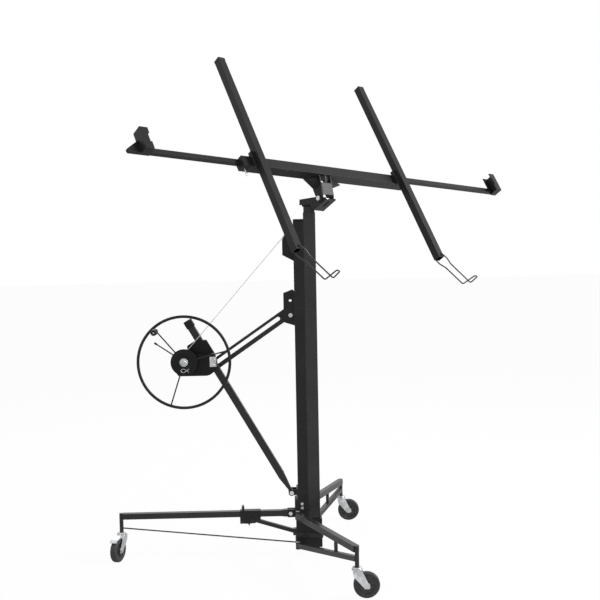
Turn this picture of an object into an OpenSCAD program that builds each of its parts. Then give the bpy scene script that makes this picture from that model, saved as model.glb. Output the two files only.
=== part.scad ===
// Drywall panel hoist: a three-legged rolling base, a three-stage telescoping
// mast raised by a hand winch, and a tilting cradle that carries one board.
// Millimetres, +Z up. The origin is on the floor under the middle of the mast.
// -X points along the front leg, under the winch; the two rear legs spread to +X.

/* [Base] */
// Height of the centre line of the three leg tubes above the floor
leg_z = 190; // [170:1:230]
// Side of the square leg tube
leg_tube = 25; // [20:1:30]
// Wall of the leg tube
leg_wall = 2; // [1.5:0.1:3]
// Distance from the mast's middle to the front caster stem
front_reach = 816; // [650:1:950]
// Distance from a rear leg's hinge to its caster stem
rear_reach = 533; // [420:1:700]
// Angle of each rear leg from +X
rear_angle = 65.8; // [55:0.1:72]
// Side of the lower tube of a rear leg
truss_tube = 20; // [16:1:24]
// Height of the lower rear tube at the hub
truss_z_hub = 58; // [56:1:66]
// Height of the lower rear tube at the caster post
truss_z_post = 153; // [145:1:160]
// Outside diameter of a caster post
post_d = 17; // [16:0.5:24]
// Height of the lower end of a caster post
post_z = 122; // [119:1:128]
// Wall of the hub that holds the foot of the mast
hub_wall = 4.5; // [3:0.5:6]
// Top of the hub's lower box
hub_top = 170; // [150:1:171]
// Diameter of a rear leg's hinge pin
leg_pin_d = 10; // [8:0.5:12]
// Diameter of the front stay rod
stay_d = 6; // [4:0.5:8]
// How far the front leg's lock pin pulls up
lock_pull = 30; // [20:1:40]

/* [Casters] */
// Diameter of a caster wheel
wheel_d = 102; // [90:1:110]
// Width of a caster tyre
wheel_w = 27; // [22:1:30]
// Trail of a caster wheel behind its stem
caster_trail = 36; // [30:1:42]
// Diameter of a caster stem
stem_d = 11; // [9:0.5:12]
// Diameter of a caster axle
caster_axle_d = 8; // [6:0.5:10]
// Thickness of a fork leg
fork_t = 2.5; // [2:0.1:4]

/* [Mast] */
// Overall size of the mast along X
mast_x = 94.8; // [90:0.2:100]
// Size of the fixed rail along X
rail_x = 43; // [38:0.5:45]
// Size of the fixed rail along Y
rail_y = 70; // [60:1:80]
// Wall of the fixed rail
rail_wall = 2.5; // [2:0.1:4]
// Half width of the slot down the open side of the rail
rail_slot = 16; // [12:0.5:20]
// Height of the foot of the mast
mast_foot = 50; // [46:1:60]
// Height of the top of the fixed rail
rail_top = 1450; // [1300:1:1500]
// Height of the top of the middle mast
middle_top = 1490; // [1470:1:1500]
// Height of the top of the inner mast
inner_top = 1512; // [1505:1:1540]
// Wall of the middle mast
middle_wall = 2; // [1.5:0.1:3]
// Wall of the inner mast
inner_wall = 2; // [1.5:0.1:3]
// Sliding gap between one mast stage and the next
slide_gap = 0.4; // [0.3:0.05:0.8]

/* [Winch] */
// Diameter of the hand wheel over its rim
hand_wheel_d = 400; // [340:1:440]
// Diameter of the rim rod
rim_d = 12.5; // [9:0.5:16]
// Diameter of a spoke
spoke_d = 6; // [4:0.5:8]
// Diameter of the hub disc
hub_disc_d = 113; // [90:1:130]
// Place of the winch axle along X
winch_x = -519; // [-535:1:-512]
// Height of the winch axle
winch_z = 866; // [850:1:870]
// Diameter of the winch axle
axle_d = 12; // [10:0.5:16]
// Radius of the drum under the cable
drum_r = 16.4; // [12:0.2:20]
// Diameter of the lifting cable
cable_d = 3.2; // [2.5:0.1:4]
// Radius of the outermost layer of cable on the drum
wrap_r = 19.6; // [18.5:0.1:26]
// Side of the winch strut tube
strut_w = 30; // [26:1:34]
// Wall of the strut tube
strut_wall = 2; // [1.5:0.1:3]
// Place of the strut's lower pivot along X
strut_x = -74; // [-76:1:-73]
// Height of the strut's lower pivot
strut_z = 282; // [275:1:295]
// Lean of the strut from upright
strut_lean = 30; // [27:0.1:32]
// Length of the strut from its pivot to its upper end
strut_len = 866; // [800:1:900]
// Diameter of the strut's pivot pin
strut_pin_d = 12; // [10:0.5:14]
// Width of the slotted arm
arm_w = 48; // [40:1:54]
// Width of the slot in the arm
arm_slot = 16.4; // [12:0.2:20]
// Thickness of the slotted arm
arm_t = 4; // [3:0.5:5]
// Place of the arm's bolt along X
arm_bolt_x = -65; // [-68:1:-62]
// Height of the arm's bolt
arm_bolt_z = 1053; // [1045:1:1062]
// Fall of the slotted arm below level
arm_fall = 34.3; // [30:0.1:38]
// Diameter of the arm's bolt
arm_bolt_d = 10; // [8:0.5:12]
// Place of the top pulley along X
pulley_x = -65; // [-66:0.5:-64]
// Height of the top pulley
pulley_z = 1376; // [1350:1:1400]
// Radius of the cable on the top pulley
pulley_r = 27; // [25:0.5:28]
// Diameter of the top pulley's pin
pulley_pin_d = 10; // [8:0.5:12]

/* [Cradle] */
// How far the tilt pin stands out from the mast's axis, towards the board
tilt_out = 102; // [96:1:110]
// Height of the tilt pin with the mast down
tilt_pin_z = 1544; // [1540:1:1550]
// Distance from the tilt pin to the beam's centre
tilt_arm = 111; // [105:1:125]
// Turn of the saddle on the beam
beam_turn = 19.4; // [12:0.1:26]
// Distance from the saddle's middle to the beam's middle
beam_shift = 41; // [30:1:50]
// Turn of the beam about the mast at rest
beam_yaw = 40.1; // [0:0.5:60]
// Lean of the beam, its +X end down
beam_lean = 3.6; // [0:0.1:8]
// Tilt of the cradle from level at rest
cradle_tilt = 56.3; // [50:0.1:65]
// Side of the main beam
beam_w = 45; // [40:1:50]
// Wall of the main beam
beam_wall = 2.4; // [2:0.1:2.9]
// Half length of the main beam
beam_half = 440; // [420:1:520]
// Side of an extension tube
ext_w = 19.8; // [16:0.2:19.8]
// Length of an extension tube
ext_len = 760; // [640:1:800]
// Distance from the beam's middle to the outer end of the left extension
ext_left_out = 931; // [860:1:960]
// Distance from the beam's middle to the outer end of the right extension
ext_right_out = 1093; // [1000:1:1100]
// Distance from the beam's middle to a support arm
arm_at = 405; // [340:1:405]
// Side of a support arm
arm_tube = 32; // [28:1:36]
// Reach of a support arm above the beam
arm_up = 512; // [420:1:560]
// Reach of a support arm below the beam
arm_down = 440; // [380:1:480]
// Wall of a support arm
arm_wall = 2; // [1.5:0.1:3]
// Diameter of the cradle's tilt pin
tilt_pin_d = 12; // [10:0.5:14]
// Diameter of the cradle's lean pin
lean_pin_d = 12; // [8:0.5:14]
// Diameter of the swivel's spigot
spigot_d = 26; // [20:0.5:30]
// Diameter of the board hook wire
hook_d = 6; // [4:0.5:7]
// Height of an end catch
catch_h = 97; // [80:1:120]

/* [Hidden] */
$fn = 48;
fit = 0.05;        // radial running fit of a shaft in its bore
face_gap = 0.3;    // gap between faces that pass each other
sheet_t = 4;       // bracket plate
bolt_head_h = 6;
eps = 0.01;

steel_black = [0.13, 0.13, 0.14];
plastic_black = [0.05, 0.05, 0.055];
zinc = [0.78, 0.79, 0.81];
tyre_black = [0.09, 0.09, 0.095];

mast_lo = -mast_x / 2;             // -X face of the mast
rail_hi = mast_lo + rail_x;        // open side of the fixed rail
middle_lo = rail_hi + 0.5;         // -X face of the middle mast
mast_hi = mast_x / 2;              // +X face of the mast
middle_y = rail_y - 4;             // the middle mast is a little slimmer
inner_lo = middle_lo + middle_wall + slide_gap;
inner_hi = mast_hi - middle_wall - slide_gap;
inner_y = middle_y - 2 * (middle_wall + slide_gap);
inner_mid = (inner_lo + inner_hi) / 2;

// A box from one corner to the other
module span(a, b) {
  translate(a) cube([b[0] - a[0], b[1] - a[1], b[2] - a[2]]);
}

// A box centred on Y
module slab(x0, x1, width, z0, z1) {
  span([x0, -width / 2, z0], [x1, width / 2, z1]);
}

// A square tube standing on z0, its centre on the axis
module square_tube(w, wall, z0, z1, d = 0) {
  depth = d == 0 ? w : d;
  difference() {
    translate([-w / 2, -depth / 2, z0]) cube([w, depth, z1 - z0]);
    translate([-w / 2 + wall, -depth / 2 + wall, z0 - 1]) cube([w - 2 * wall, depth - 2 * wall, z1 - z0 + 2]);
  }
}

// A shaft along Y
module shaft_y(x, z, d, y0, y1) {
  translate([x, y1, z]) rotate([90, 0, 0]) cylinder(d = d, h = y1 - y0);
}

// A plate in the XZ plane, cut from points
module plate_y(points, y0, y1) {
  translate([0, y1, 0]) rotate([90, 0, 0]) linear_extrude(y1 - y0) polygon(points);
}

// A hexagon head along Y
module hex_y(x, z, across, y0, y1) {
  translate([x, y1, z]) rotate([90, 0, 0]) cylinder(d = across / cos(30), h = y1 - y0, $fn = 6);
}

// A round rod from one point to another
module rod(a, b, d) {
  v = b - a;
  length = norm(v);
  translate(a) rotate([0, acos(v[2] / length), atan2(v[1], v[0])]) cylinder(d = d, h = length);
}

// Hub: a welded box round the mast's foot

hub_y = rail_y / 2 + hub_wall;
block_z0 = hub_top + 6;
block_z1 = 254;
front_pivot_x = -80;
hinge_x = -50;
hinge_y = 51;
knuckle_d = 22;
lug_t = 4;
knuckle_lo = [truss_z_hub - truss_tube / 2, truss_z_hub + truss_tube / 2];
knuckle_hi = [leg_z - leg_tube / 2, leg_z + leg_tube / 2];

module hinge_lug(side, z0) {
  difference() {
    union() {
      translate([hinge_x, side * hinge_y, z0]) cylinder(d = knuckle_d, h = lug_t);
      span([hinge_x - knuckle_d / 2, min(0, side * hinge_y), z0],
           [hinge_x + knuckle_d / 2, max(0, side * hinge_y), z0 + lug_t]);
    }
    translate([hinge_x, side * hinge_y, z0 - 1]) cylinder(d = leg_pin_d + 2 * fit, h = lug_t + 2);
    slab(mast_lo - 30, 200, 2 * hub_y - 2, z0 - 1, z0 + lug_t + 1);
  }
}

module hub() {
  color(steel_black) {
    // lower box round the rail and the middle mast
    difference() {
      slab(mast_lo - hub_wall - 5, mast_hi + hub_wall + 3, 2 * hub_y, mast_foot - 4, hub_top);
      slab(mast_lo, mast_hi + 0.6, rail_y, mast_foot, hub_top + 1);
    }
    // upper block round the rail only, with the front leg's ears
    difference() {
      slab(mast_lo - 14, rail_hi, 2 * hub_y, hub_top, block_z1);
      slab(mast_lo, rail_hi + 1, rail_y, hub_top - 1, block_z1 + 1);
    }
    for (side = [-1, 1]) difference() {
      slab_y = side * (leg_tube / 2 - 0.5);
      span([front_pivot_x - 14, min(slab_y, slab_y + side * lug_t), leg_z - 17],
           [mast_lo - 13, max(slab_y, slab_y + side * lug_t), leg_z + 17]);
      shaft_y(front_pivot_x, leg_z, leg_pin_d + 2 * fit, -60, 60);
    }
    // hinge lugs of the rear legs, above and below each knuckle
    for (side = [-1, 1], z = [knuckle_lo[0] - face_gap - lug_t, knuckle_lo[1] + face_gap,
                              knuckle_hi[0] - face_gap - lug_t, knuckle_hi[1] + face_gap])
      hinge_lug(side, z);
  }
}

// Telescoping mast

module mast_rail() {
  color(steel_black) difference() {
    slab(mast_lo + eps, rail_hi, rail_y - 2 * eps, mast_foot + eps, rail_top);
    slab(mast_lo + rail_wall, rail_hi - rail_wall, rail_y - 2 * rail_wall, mast_foot - 1, rail_top + 1);
    slab(rail_hi - rail_wall - 1, rail_hi + 1, 2 * rail_slot, mast_foot - 1, rail_top + 1);
    // window where the cable runs in over the pulley
    slab(mast_lo - 1, mast_lo + rail_wall + 1, 14, pulley_z - 60, pulley_z + 40);
  }
}

module mast_cap() {
  color(plastic_black) {
    slab(mast_lo + 0.2, rail_hi - 0.2, rail_y - 10, rail_top, rail_top + 12);
    difference() {
      slab(mast_lo + rail_wall + 0.2, rail_hi - rail_wall - 0.2, rail_y - 2 * rail_wall - 0.4,
           rail_top - 14, rail_top);
      slab(mast_lo + rail_wall + 4, rail_hi - rail_wall - 4, rail_y - 2 * rail_wall - 8,
           rail_top - 15, rail_top - 3);
    }
  }
}

module mast_middle() {
  color(steel_black) difference() {
    slab(middle_lo, mast_hi, middle_y, mast_foot + 8, middle_top);
    slab(middle_lo + middle_wall, mast_hi - middle_wall, middle_y - 2 * middle_wall,
         mast_foot + 7, middle_top + 1);
  }
}

// Slide shoes: T-shaped blocks on the middle mast that run inside the rail
shoe_h = 110;
shoe_zs = [mast_foot + 20, mast_foot + 330];
module middle_shoes() {
  color(plastic_black) for (z = shoe_zs) {
    slab(rail_hi - rail_wall - 0.5, middle_lo, 2 * rail_slot - 2 * face_gap, z, z + shoe_h);
    difference() {
      slab(mast_lo + rail_wall + face_gap, rail_hi - rail_wall - face_gap,
           rail_y - 2 * rail_wall - 2 * face_gap, z, z + shoe_h);
      // the cable passes the upper shoe and ends in the lower one
      translate([cable_down_x, 0, z == shoe_zs[0] ? z + 40 : z - 1])
        cylinder(d = cable_d + 2, h = shoe_h + 2);
    }
  }
}

module mast_inner() {
  color(steel_black) difference() {
    slab(inner_lo, inner_hi, inner_y, mast_foot + 12, inner_top);
    slab(inner_lo + inner_wall, inner_hi - inner_wall, inner_y - 2 * inner_wall,
         mast_foot + 11, inner_top + 1);
  }
}

// Bolts of the mast foot
foot_bolt_x = -30;
bolt_rows = [220, 238];
module foot_bolts() {
  color(zinc) for (z = bolt_rows, side = [-1, 1]) {
    y0 = hub_y;
    hex_y(foot_bolt_x, z, 12, side > 0 ? y0 : -y0 - 5, side > 0 ? y0 + 5 : -y0);
  }
}

// Top pulley and its bracket

bracket_x = mast_lo - 48;
cheek_in = 9;
module pulley_bracket() {
  cheek = [[mast_lo, pulley_z + 36], [mast_lo - 34, pulley_z + 24], [bracket_x, pulley_z - 4],
           [bracket_x, pulley_z - 66], [mast_lo, pulley_z - 92]];
  color(steel_black) difference() {
    union() {
      plate_y(cheek, cheek_in, cheek_in + sheet_t);
      plate_y(cheek, -cheek_in - sheet_t, -cheek_in);
      slab(bracket_x, bracket_x + 3, 2 * cheek_in + 1, pulley_z - 66, pulley_z - 40);
    }
    shaft_y(pulley_x, pulley_z, pulley_pin_d, -60, 60);
  }
}

module top_pulley() {
  w = 10;
  color(zinc) difference() {
    union() {
      shaft_y(pulley_x, pulley_z, 2 * (pulley_r - cable_d / 2 - 0.2), -w / 2, w / 2);
      for (side = [-1, 1]) shaft_y(pulley_x, pulley_z, 2 * pulley_r + 6,
        side > 0 ? 3 : -w / 2, side > 0 ? w / 2 : -3);
      shaft_y(pulley_x, pulley_z, 20, -cheek_in + face_gap, cheek_in - face_gap);
    }
    shaft_y(pulley_x, pulley_z, pulley_pin_d + 2 * fit, -60, 60);
  }
}

module pulley_pin() {
  color(zinc) {
    shaft_y(pulley_x, pulley_z, pulley_pin_d, -cheek_in - sheet_t - 3, cheek_in + sheet_t + 3);
    hex_y(pulley_x, pulley_z, 16, -cheek_in - sheet_t - bolt_head_h, -cheek_in - sheet_t);
    hex_y(pulley_x, pulley_z, 16, cheek_in + sheet_t, cheek_in + sheet_t + bolt_head_h);
  }
}

// Gusset on the mast that carries the slotted arm

gusset_in = strut_w / 2 + 7.5;
module winch_gusset() {
  g = arm_bolt_z;
  plate = [[mast_lo, g + 101], [mast_lo - 8, g + 108], [mast_lo - 47, g + 93],
           [mast_lo - 47, g - 30], [mast_lo, g - 45]];
  color(steel_black) difference() {
    union() {
      plate_y(plate, gusset_in, gusset_in + sheet_t);
      plate_y(plate, -gusset_in - sheet_t, -gusset_in);
      slab(mast_lo - 4, mast_lo, 2 * gusset_in + 1, g - 45, g + 101);
    }
    shaft_y(arm_bolt_x, g, arm_bolt_d + 2 * fit, -60, 60);
    shaft_y(arm_bolt_x, g + 61, 13, -60, 60);
  }
}

module gusset_bolt() {
  out = gusset_in + sheet_t;
  color(zinc) {
    shaft_y(arm_bolt_x, arm_bolt_z, arm_bolt_d, -out, out);
    hex_y(arm_bolt_x, arm_bolt_z, 17, -out - bolt_head_h, -out);
    hex_y(arm_bolt_x, arm_bolt_z, 17, out, out + bolt_head_h);
  }
}

// Strap on the mast that carries the strut's lower pivot

barrel_d = 24;
eye_in = 19.5;
module strut_bracket() {
  z0 = strut_z - 10;
  z1 = strut_z + 21;
  out = rail_y / 2 + 3;
  color(steel_black) {
    difference() {
      slab(mast_lo - 6, rail_hi, 2 * out, z0, z1);
      slab(mast_lo, rail_hi + 1, rail_y, z0 - 1, z1 + 1);
    }
    for (side = [-1, 1]) difference() {
      a = side > 0 ? eye_in : -eye_in - sheet_t;
      union() {
        shaft_y(strut_x, strut_z, barrel_d + 4, a, a + sheet_t);
        span([strut_x, a, strut_z - 10], [mast_lo - 5, a + sheet_t, strut_z + 14]);
      }
      shaft_y(strut_x, strut_z, strut_pin_d + 2 * fit, -60, 60);
    }
  }
}

module strut_pin() {
  out = eye_in + sheet_t;
  color(zinc) {
    shaft_y(strut_x, strut_z, strut_pin_d, -out, out);
    hex_y(strut_x, strut_z, 18, -out - bolt_head_h, -out);
    hex_y(strut_x, strut_z, 18, out, out + bolt_head_h);
  }
}

// Winch strut, in a frame with +Z along the tube from its pivot

module strut_frame() {
  translate([strut_x, 0, strut_z]) rotate([0, -strut_lean, 0]) children();
}

module winch_strut() {
  taper = [[-strut_w / 2, 118], [strut_w / 2, 118], [strut_w / 2, 92], [7, 22], [-7, 22], [-strut_w / 2, 80]];
  color(steel_black) strut_frame() difference() {
    union() {
      square_tube(strut_w, strut_wall, 117, strut_len);
      plate_y(taper, -strut_w / 2, strut_w / 2);
      slab(-7, 7, strut_w, 0, 30);
      shaft_y(0, 0, barrel_d, -eye_in + face_gap, eye_in - face_gap);
    }
    shaft_y(0, 0, strut_pin_d + 2 * fit, -60, 60);
  }
}

module strut_cap() {
  color(plastic_black) strut_frame() difference() {
    slab(-strut_w / 2 - 3, strut_w / 2 + 3, strut_w + 6, strut_len - 28, strut_len + 5);
    slab(-strut_w / 2, strut_w / 2, strut_w, strut_len - 29, strut_len);
  }
}

// Slotted arm, in a frame with +X along the arm from its bolt and +Z on its lower side

arm_mid = -12;
slot_mid = -15.5;
arm_tail = 6;
arm_end = 422;
slot_from = 46;
arm_y0 = strut_w / 2 + 1;
// where the strut's axis crosses the slot, in the arm frame and along the strut
cross_x = arm_bolt_x + slot_mid * sin(arm_fall) - strut_x;
cross_z = arm_bolt_z - slot_mid * cos(arm_fall) - strut_z;
slot_bolt_at = (cross_x * cos(strut_lean) + cross_z * sin(strut_lean)) / cos(arm_fall - strut_lean);
slot_bolt_t = (cross_z * cos(arm_fall) - cross_x * sin(arm_fall)) / cos(arm_fall - strut_lean);
slot_to = slot_bolt_at + arm_slot / 2 + 1;
module arm_frame() {
  translate([arm_bolt_x, 0, arm_bolt_z]) rotate([0, 180 - arm_fall, 0]) children();
}

module slotted_arm() {
  color(steel_black) arm_frame() difference() {
    union() {
      span([-arm_tail, arm_y0, arm_mid - arm_w / 2], [arm_end, arm_y0 + arm_t, arm_mid + arm_w / 2]);
      span([60, arm_y0 + arm_t - 1, arm_mid + arm_w / 2 - 4], [arm_end, arm_y0 + 16, arm_mid + arm_w / 2]);
      shaft_y(0, 0, 22, -gusset_in + face_gap, gusset_in - face_gap);
    }
    shaft_y(0, 0, arm_bolt_d + 2 * fit, -60, 60);
    span([slot_from + arm_slot / 2, arm_y0 - 1, slot_mid - arm_slot / 2],
         [slot_to - arm_slot / 2, arm_y0 + arm_t + 1, slot_mid + arm_slot / 2]);
    for (x = [slot_from + arm_slot / 2, slot_to - arm_slot / 2])
      shaft_y(x, slot_mid, arm_slot, arm_y0 - 1, arm_y0 + arm_t + 1);
  }
}

// Winch housing: a box round the drum, open above, and a block behind the cable

house_y0 = -62;
house_y1 = -strut_w / 2;
cable_y = -40;
module winch_housing() {
  x = winch_x;
  z = winch_z;
  outline = [[x - 34, z - 62], [x + 104, z - 62], [x + 132, z - 40], [x + 139, z - 8],
             [x + 126, z + 32], [x + 70, z + 32], [x - 34, z + 32]];
  pocket = [[x - 31, z - 58], [x + 100, z - 58], [x + 100, z + 33], [x - 31, z + 33]];
  block = [[x + 10, z + 32], [x + 126, z + 32], [x + 92, z + 88], [x + 48, z + 88], [x + 10, z + 64]];
  color(steel_black) difference() {
    union() {
      plate_y(outline, house_y0, house_y1);
      plate_y(block, house_y1 - 16, house_y1);
    }
    plate_y(pocket, house_y0 + 4, house_y1 - 3);
    shaft_y(x, z, axle_d + 2 * fit, -100, 0);
  }
}

module housing_bolts() {
  color(zinc) for (z = [winch_z - 13, winch_z + 8]) {
    shaft_y(winch_x + 121, z, 19, house_y0 - 2, house_y0);
    hex_y(winch_x + 121, z, 15, house_y0 - 9, house_y0 - 2);
  }
  // bolt on the strut that rides in the arm's slot
  color(zinc) strut_frame() {
    shaft_y(0, slot_bolt_t, 12, strut_w / 2, arm_y0 + arm_t + 8);
    hex_y(0, slot_bolt_t, 22, arm_y0 + arm_t + face_gap, arm_y0 + arm_t + 8);
  }
}

// Hand wheel: rim, three spokes and hub disc

rim_y = -82;
knob_r = 177;
knob_angle = 130.5;
spoke_angles = [14, 130.5, 252];
module hand_wheel() {
  color(steel_black) translate([winch_x, rim_y, winch_z]) rotate([90, 0, 0]) difference() {
    union() {
      rotate_extrude($fn = 96) translate([hand_wheel_d / 2 - rim_d / 2, 0]) circle(d = rim_d, $fn = 24);
      for (a = spoke_angles) rotate(a) translate([30, 0, 0]) rotate([0, 90, 0])
        cylinder(d = spoke_d, h = hand_wheel_d / 2 - rim_d - 29);
      translate([0, 0, 3]) cylinder(d = hub_disc_d, h = 4);
      translate([0, 0, -4]) cylinder(d = 76, h = 8);
      rotate(knob_angle) translate([knob_r, 0, -4]) cylinder(d = 16, h = 11);
    }
    translate([0, 0, -10]) cylinder(d = axle_d, h = 30);
    rotate(knob_angle) translate([knob_r, 0, -10]) cylinder(d = knob_bolt_d, h = 30);
  }
}

// Crank knob: a round grip that spins on a bolt near the rim
knob_bolt_d = 8;
knob_d = 27;
knob_len = 82;
module crank_knob() {
  color(plastic_black) translate([winch_x, rim_y, winch_z]) rotate([90, 0, 0])
    rotate(knob_angle) translate([knob_r, 0, 7 + face_gap]) difference() {
      rotate_extrude() polygon([[0, 0], [9, 0], [11, 6], [13, 30], [knob_d / 2, 56], [12.5, 74],
                                [8, knob_len], [0, knob_len]]);
      translate([0, 0, -1]) cylinder(d = knob_bolt_d + 2 * fit, h = knob_len - 11);
    }
}

module winch_drum() {
  color(zinc) difference() {
    union() {
      shaft_y(winch_x, winch_z, 2 * wrap_r, cable_y - 10, cable_y + 10);
      shaft_y(winch_x, winch_z, 2 * wrap_r + 20, cable_y - 14, cable_y - 10);
      shaft_y(winch_x, winch_z, 2 * wrap_r + 20, cable_y + 10, cable_y + 14);
    }
    shaft_y(winch_x, winch_z, axle_d, -100, 0);
  }
}

// Axle of the wheel and drum, with its nut and washer, and the knob's bolt
module winch_axle() {
  x = winch_x;
  z = winch_z;
  color(zinc) {
    shaft_y(x, z, axle_d, rim_y - 20, house_y1 - 1);
    shaft_y(x, z, 35, rim_y - 10, rim_y - 7);
    hex_y(x, z, 19, rim_y - 19, rim_y - 10);
    translate([x, rim_y, z]) rotate([90, 0, 0]) rotate(knob_angle) translate([knob_r, 0, -8])
      cylinder(d = knob_bolt_d, h = 70);
  }
}

// Spring clip on the face of the hub disc
module axle_clip() {
  wire = 2.6;
  color(zinc) translate([winch_x - 3, rim_y - 7 - wire / 2, winch_z - 35]) rotate([90, 0, 0]) {
    rotate_extrude() translate([9, 0]) circle(d = wire, $fn = 16);
    translate([8, 0, 0]) rotate([0, 90, 0]) cylinder(d = wire, h = 16);
  }
}

module brake_lever() {
  y = house_y0 - 9;
  color(zinc * 0.25) difference() {
    union() {
      shaft_y(winch_x, winch_z, 46, y - 4.5, y + 8.5);
      translate([winch_x, y, winch_z]) rotate([90, 0, 0]) rotate(146) translate([15, 0, 0])
        rotate([0, 90, 0]) cylinder(d = 5.5, h = 128);
      translate([winch_x, y, winch_z]) rotate([90, 0, 0]) rotate(146) translate([136, 0, 0])
        rotate([0, 90, 0]) cylinder(d = 8.5, h = 14);
    }
    shaft_y(winch_x, winch_z, axle_d + 2 * fit, -100, 0);
  }
}

// Lifting cable: drum, over the pulley, down the rail to the lower shoe

cable_down_x = pulley_x + pulley_r;
strand_d = cable_d - 0.5;
drum_off = wrap_r + cable_d / 2 + 0.15;
run_dx = pulley_x - winch_x;
run_dz = pulley_z - winch_z;
run_tilt = atan2(run_dz, run_dx) + asin((drum_off - pulley_r) / norm([run_dx, run_dz]));
off = [-sin(run_tilt), 0, cos(run_tilt)];
cable_start = [winch_x, cable_y, winch_z] + drum_off * off;
cable_crest = [pulley_x, 0, pulley_z] + pulley_r * off;
module winch_cable() {
  color(zinc) {
    rod(cable_start, cable_crest - 0.5 * [cos(run_tilt), 0, sin(run_tilt)], strand_d);
    translate(cable_crest) sphere(d = cable_d, $fn = 24);
    translate([cable_down_x, 0, pulley_z]) sphere(d = cable_d, $fn = 24);
    translate([pulley_x, 0, pulley_z]) rotate([90, 0, 0]) rotate(1)
      rotate_extrude(angle = 88 + run_tilt) translate([pulley_r, 0]) circle(d = strand_d, $fn = 16);
    translate([cable_down_x, 0, shoe_zs[0] + 42])
      cylinder(d = strand_d, h = pulley_z - shoe_zs[0] - 42.5);
  }
}

// Front leg with its sleeve, brace, stay and lock pin

sleeve_x = [-300, -211];
lock_x = -287;
module front_leg() {
  color(steel_black) difference() {
    union() {
      translate([-front_reach + 6, 0, leg_z]) rotate([0, 90, 0])
        square_tube(leg_tube, leg_wall, 0, front_reach - 6 - 122);
      plate_y([[-124, leg_z - 12.5], [-124, leg_z + 12.5], [-104, leg_z + 15], [front_pivot_x + 15, leg_z + 15],
               [front_pivot_x + 15, leg_z - 15], [-104, leg_z - 15]], -leg_tube / 2 + 1.2, leg_tube / 2 - 1.2);
      translate([-front_reach, 0, post_z]) cylinder(d = post_d, h = leg_z + 13 - post_z);
    }
    translate([-front_reach, 0, post_z - 1]) cylinder(d = stem_d + 2 * fit, h = stem_h + 2);
    shaft_y(front_pivot_x, leg_z, leg_pin_d, -60, 60);
    translate([lock_x, 0, leg_z - 50]) cylinder(d = lock_d + 2 * fit, h = 100);
    rod(stay_start, stay_in, stay_d);
  }
}

module leg_sleeve() {
  w = leg_tube + 2 * (3 + 0.2);
  z0 = leg_z - 40;
  z1 = leg_z + leg_tube / 2 + 0.1;
  color(steel_black) difference() {
    slab(sleeve_x[0], sleeve_x[1], w, z0, z1 + 3);
    slab(sleeve_x[0] - 1, sleeve_x[1] + 1, leg_tube + 0.4, z0 - 1, z1);
    translate([lock_x, 0, z0]) cylinder(d = lock_d + 2 * fit, h = 90);
    span([sleeve_x[1] - 22, -40, z0 - 1], [sleeve_x[1] + 1, 40, z0 + 14]);
    shaft_y(sleeve_x[1] - 34, leg_z - 27, 9, -60, 60);
  }
}

lock_d = 10;
module leg_lock_pin() {
  color(steel_black) translate([lock_x, 0, 0]) {
    translate([0, 0, leg_z - 38]) cylinder(d = lock_d, h = 65);
    translate([0, 0, leg_z + 24]) cylinder(d1 = 14, d2 = 5, h = 14);
  }
}

brace_out = [-245, 0, 164];
brace_in = [mast_lo - hub_wall - 5, 0, 106];
module front_brace() {
  v = brace_in - brace_out;
  tilt = atan2(-v[2], v[0]);
  color(steel_black) difference() {
    union() {
      translate(brace_out) rotate([0, tilt, 0]) span([-8, -8, -8], [norm(v) + 10, 8, 8]);
      span([brace_in[0] - 14, -12, brace_in[2] - 14], [brace_in[0], 12, brace_in[2] + 14]);
      // straps that run back along both sides of the hub
      span([brace_in[0] - 4, -hub_y - 3.5, brace_in[2] - 12], [brace_in[0], hub_y + 3.5, brace_in[2] + 6]);
      for (side = [-1, 1]) translate([brace_in[0] - 2, side * (hub_y + 1.75), brace_in[2] - 3]) rotate([0, 4, 0])
        span([0, -1.75, -8], [118, 1.75, 8]);
    }
    slab(brace_in[0], brace_in[0] + 60, 2 * hub_y, 0, 200);
    shaft_y(sleeve_x[1] - 34, leg_z - 27, 9, -60, 60);
  }
  // bolt through the sleeve and the brace, and studs at the straps' ends
  color(zinc) {
    for (side = [-1, 1]) hex_y(49, brace_in[2] - 10.5, 13, side > 0 ? hub_y + 3.5 : -hub_y - 9,
      side > 0 ? hub_y + 9 : -hub_y - 3.5);
    out = leg_tube / 2 + 3.3;
    shaft_y(sleeve_x[1] - 34, leg_z - 27, 8.9, -out, out);
    for (side = [-1, 1]) hex_y(sleeve_x[1] - 34, leg_z - 27, 15, side > 0 ? out : -out - 5, side > 0 ? out + 5 : -out);
  }
}

stay_out_z = 138;
stay_start = [-front_reach + post_d / 2 - 2, 0, stay_out_z];
stay_in = [mast_lo - hub_wall - 5, 0, mast_foot + 8];
module stay_rod() {
  color(steel_black) rod(stay_start, stay_in, stay_d - 0.1);
}

// Rear legs: a truss that hinges at the hub

module rear_frame(side) {
  translate([hinge_x, side * hinge_y, 0]) rotate(side * rear_angle) children();
}

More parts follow.
